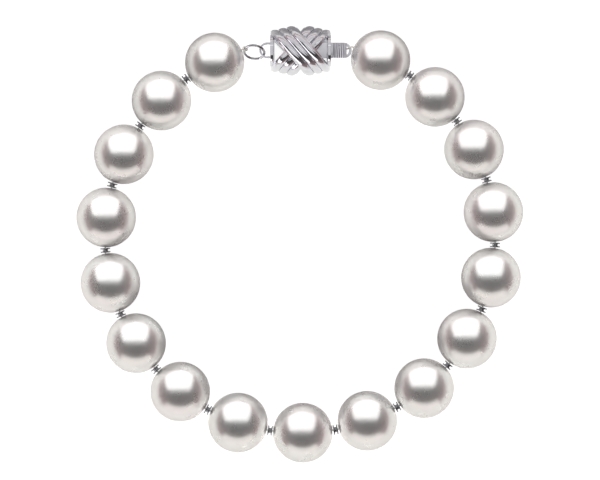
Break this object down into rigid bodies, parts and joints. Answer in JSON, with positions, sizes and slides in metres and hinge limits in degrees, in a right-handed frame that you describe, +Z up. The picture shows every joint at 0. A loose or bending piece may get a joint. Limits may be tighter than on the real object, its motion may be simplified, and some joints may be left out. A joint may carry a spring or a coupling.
{
  "type": "pearl bracelet",
  "caption": "Single-strand bracelet of round white pearls with metal spacers and a crossed-rib box clasp, fastened and lying flat.",
  "frame": {"origin": "on the surface that the bracelet lies on, under the middle of its outer box", "axes": "+Z up, out of the plane that the loop lies in; +Y from the loop's middle towards the clasp; +X to the right with the clasp at the top, from the jump ring towards the clasp's tongue"},
  "size_m": [0.0698, 0.0684, 0.0094],
  "materials": {
    "pearl": "lustrous nacre",
    "white_metal": "polished",
    "thread": "waxed silk"
  },
  "bodies": {
    "root": {"pearl_01": "pearl", "pearl_02": "pearl", "pearl_03": "pearl", "pearl_04": "pearl", "pearl_05": "pearl", "pearl_06": "pearl", "pearl_07": "pearl", "pearl_08": "pearl", "pearl_09": "pearl", "pearl_10": "pearl", "pearl_11": "pearl", "pearl_12": "pearl", "pearl_13": "pearl", "pearl_14": "pearl", "pearl_15": "pearl", "pearl_16": "pearl", "pearl_17": "pearl", "spacer_01": "white_metal", "spacer_02": "white_metal", "spacer_03": "white_metal", "spacer_04": "white_metal", "spacer_05": "white_metal", "spacer_06": "white_metal", "spacer_07": "white_metal", "spacer_08": "white_metal", "spacer_09": "white_metal", "spacer_10": "white_metal", "spacer_11": "white_metal", "spacer_12": "white_metal", "spacer_13": "white_metal", "spacer_14": "white_metal", "spacer_15": "white_metal", "spacer_16": "white_metal", "clasp_box": "white_metal", "clasp_tongue": "white_metal", "jump_ring": "white_metal", "thread": "thread"}
  },
  "joints": []
}
